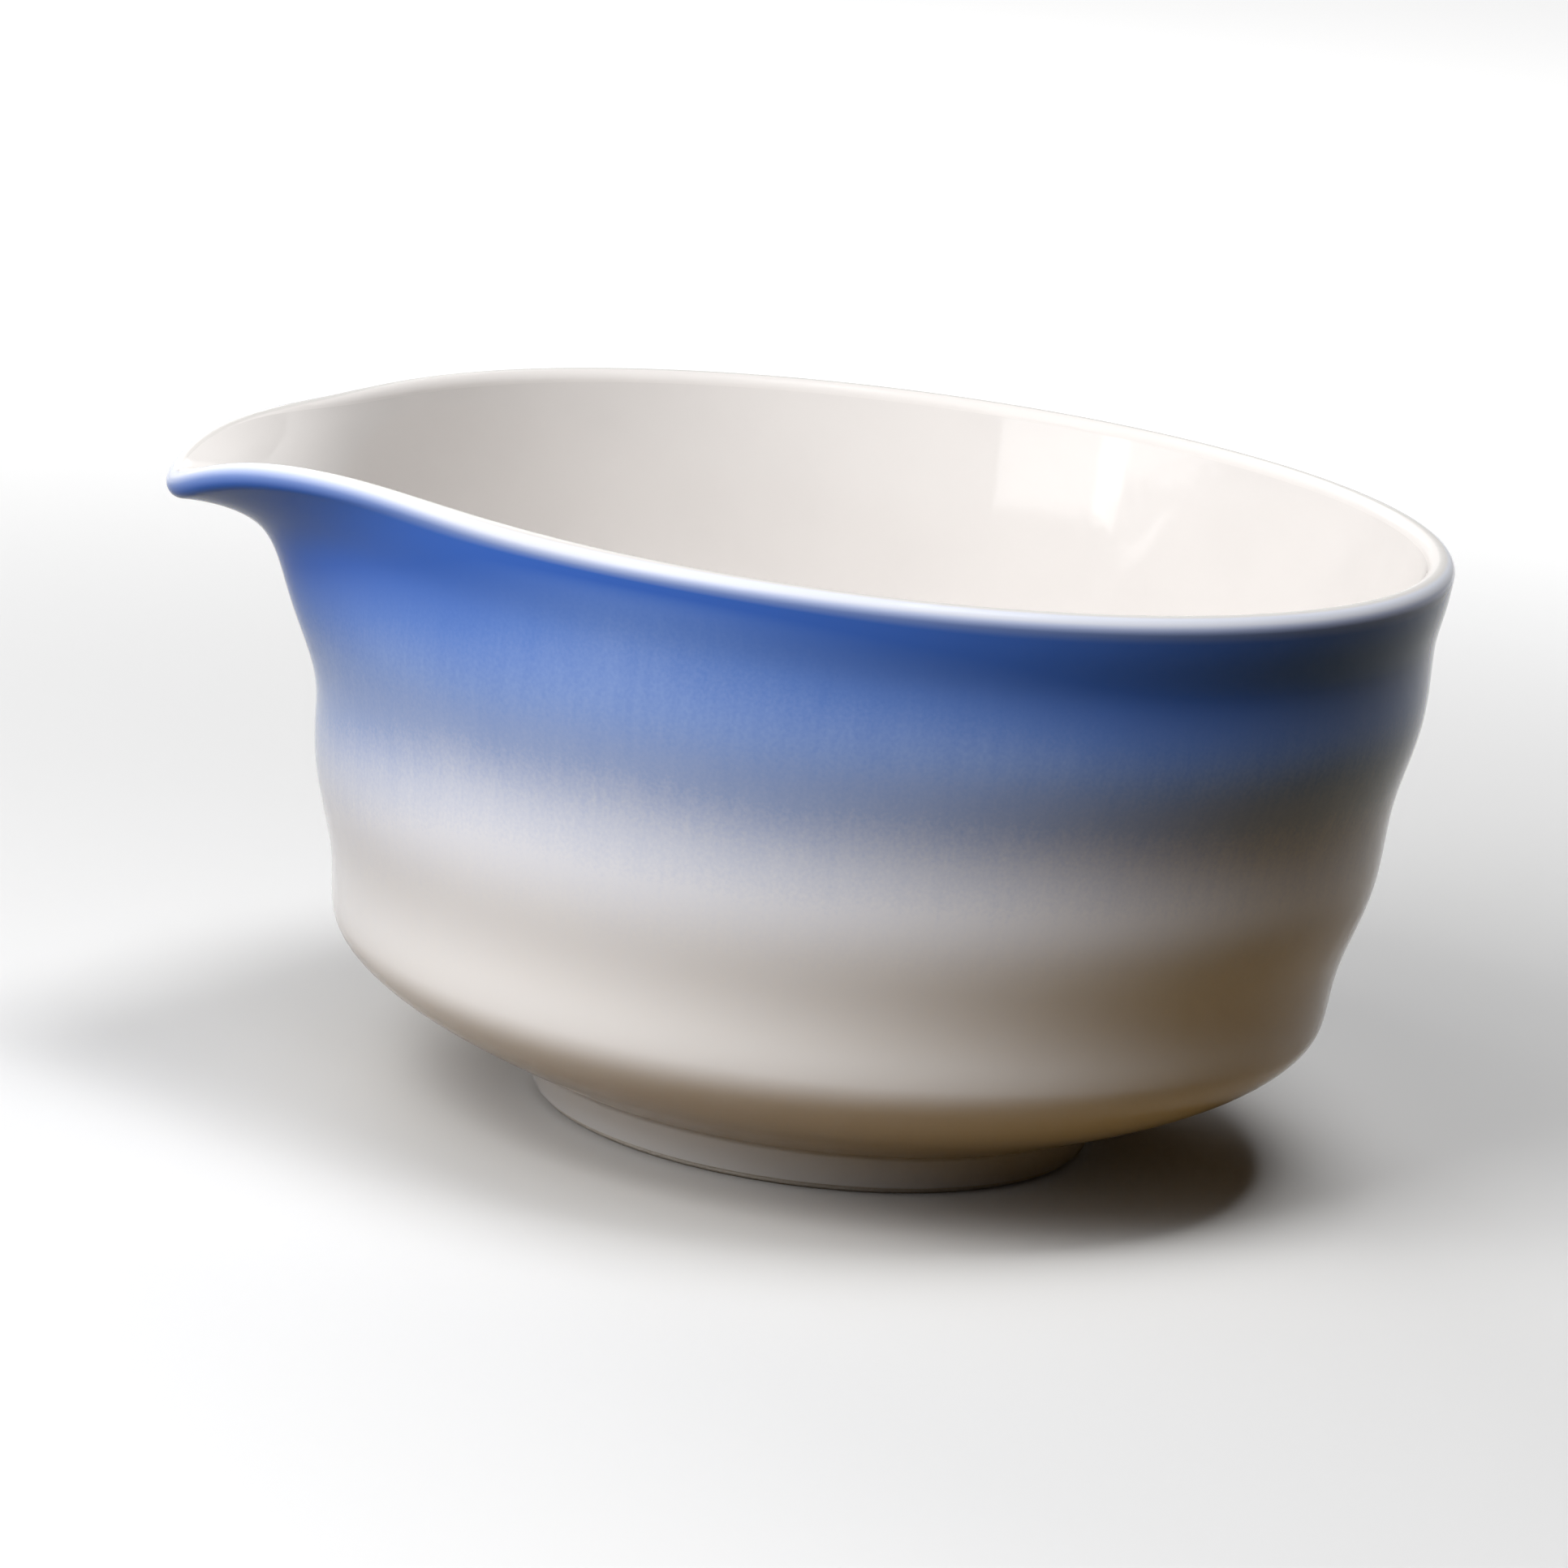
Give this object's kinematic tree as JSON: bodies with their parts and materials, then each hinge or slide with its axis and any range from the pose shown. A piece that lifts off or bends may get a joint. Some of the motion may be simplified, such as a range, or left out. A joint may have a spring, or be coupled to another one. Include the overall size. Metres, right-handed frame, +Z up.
{
  "type": "spouted matcha bowl",
  "caption": "Round footed tea bowl with an open pouring spout drawn out of its rim, glazed inside and out, for whisking matcha and pouring it.",
  "frame": {"origin": "on the standing plane, under the middle of the bounding box; the bowl's own axis stands 7.7 mm from it along +X", "axes": "+Z up through the open mouth, -X along the spout's pouring direction"},
  "size_m": [0.1404, 0.125, 0.0714],
  "materials": {
    "porcelain": "bare fired clay, matt",
    "slip": "bare fired slip, matt",
    "cream_glaze": "clear gloss over cream white",
    "rim_white_glaze": "gloss white",
    "blue_glaze": "gloss cobalt blue that fades to white downwards",
    "white_glaze": "gloss white"
  },
  "bodies": {
    "root": {"bowl_body": "porcelain", "spout": "porcelain", "foot_ring": "porcelain", "spout_seam": "slip", "foot_seam": "slip", "liner_glaze": "cream_glaze", "rim_glaze": "rim_white_glaze", "blue_glaze": "blue_glaze", "white_glaze": "white_glaze", "base_glaze": "white_glaze"}
  },
  "joints": []
}
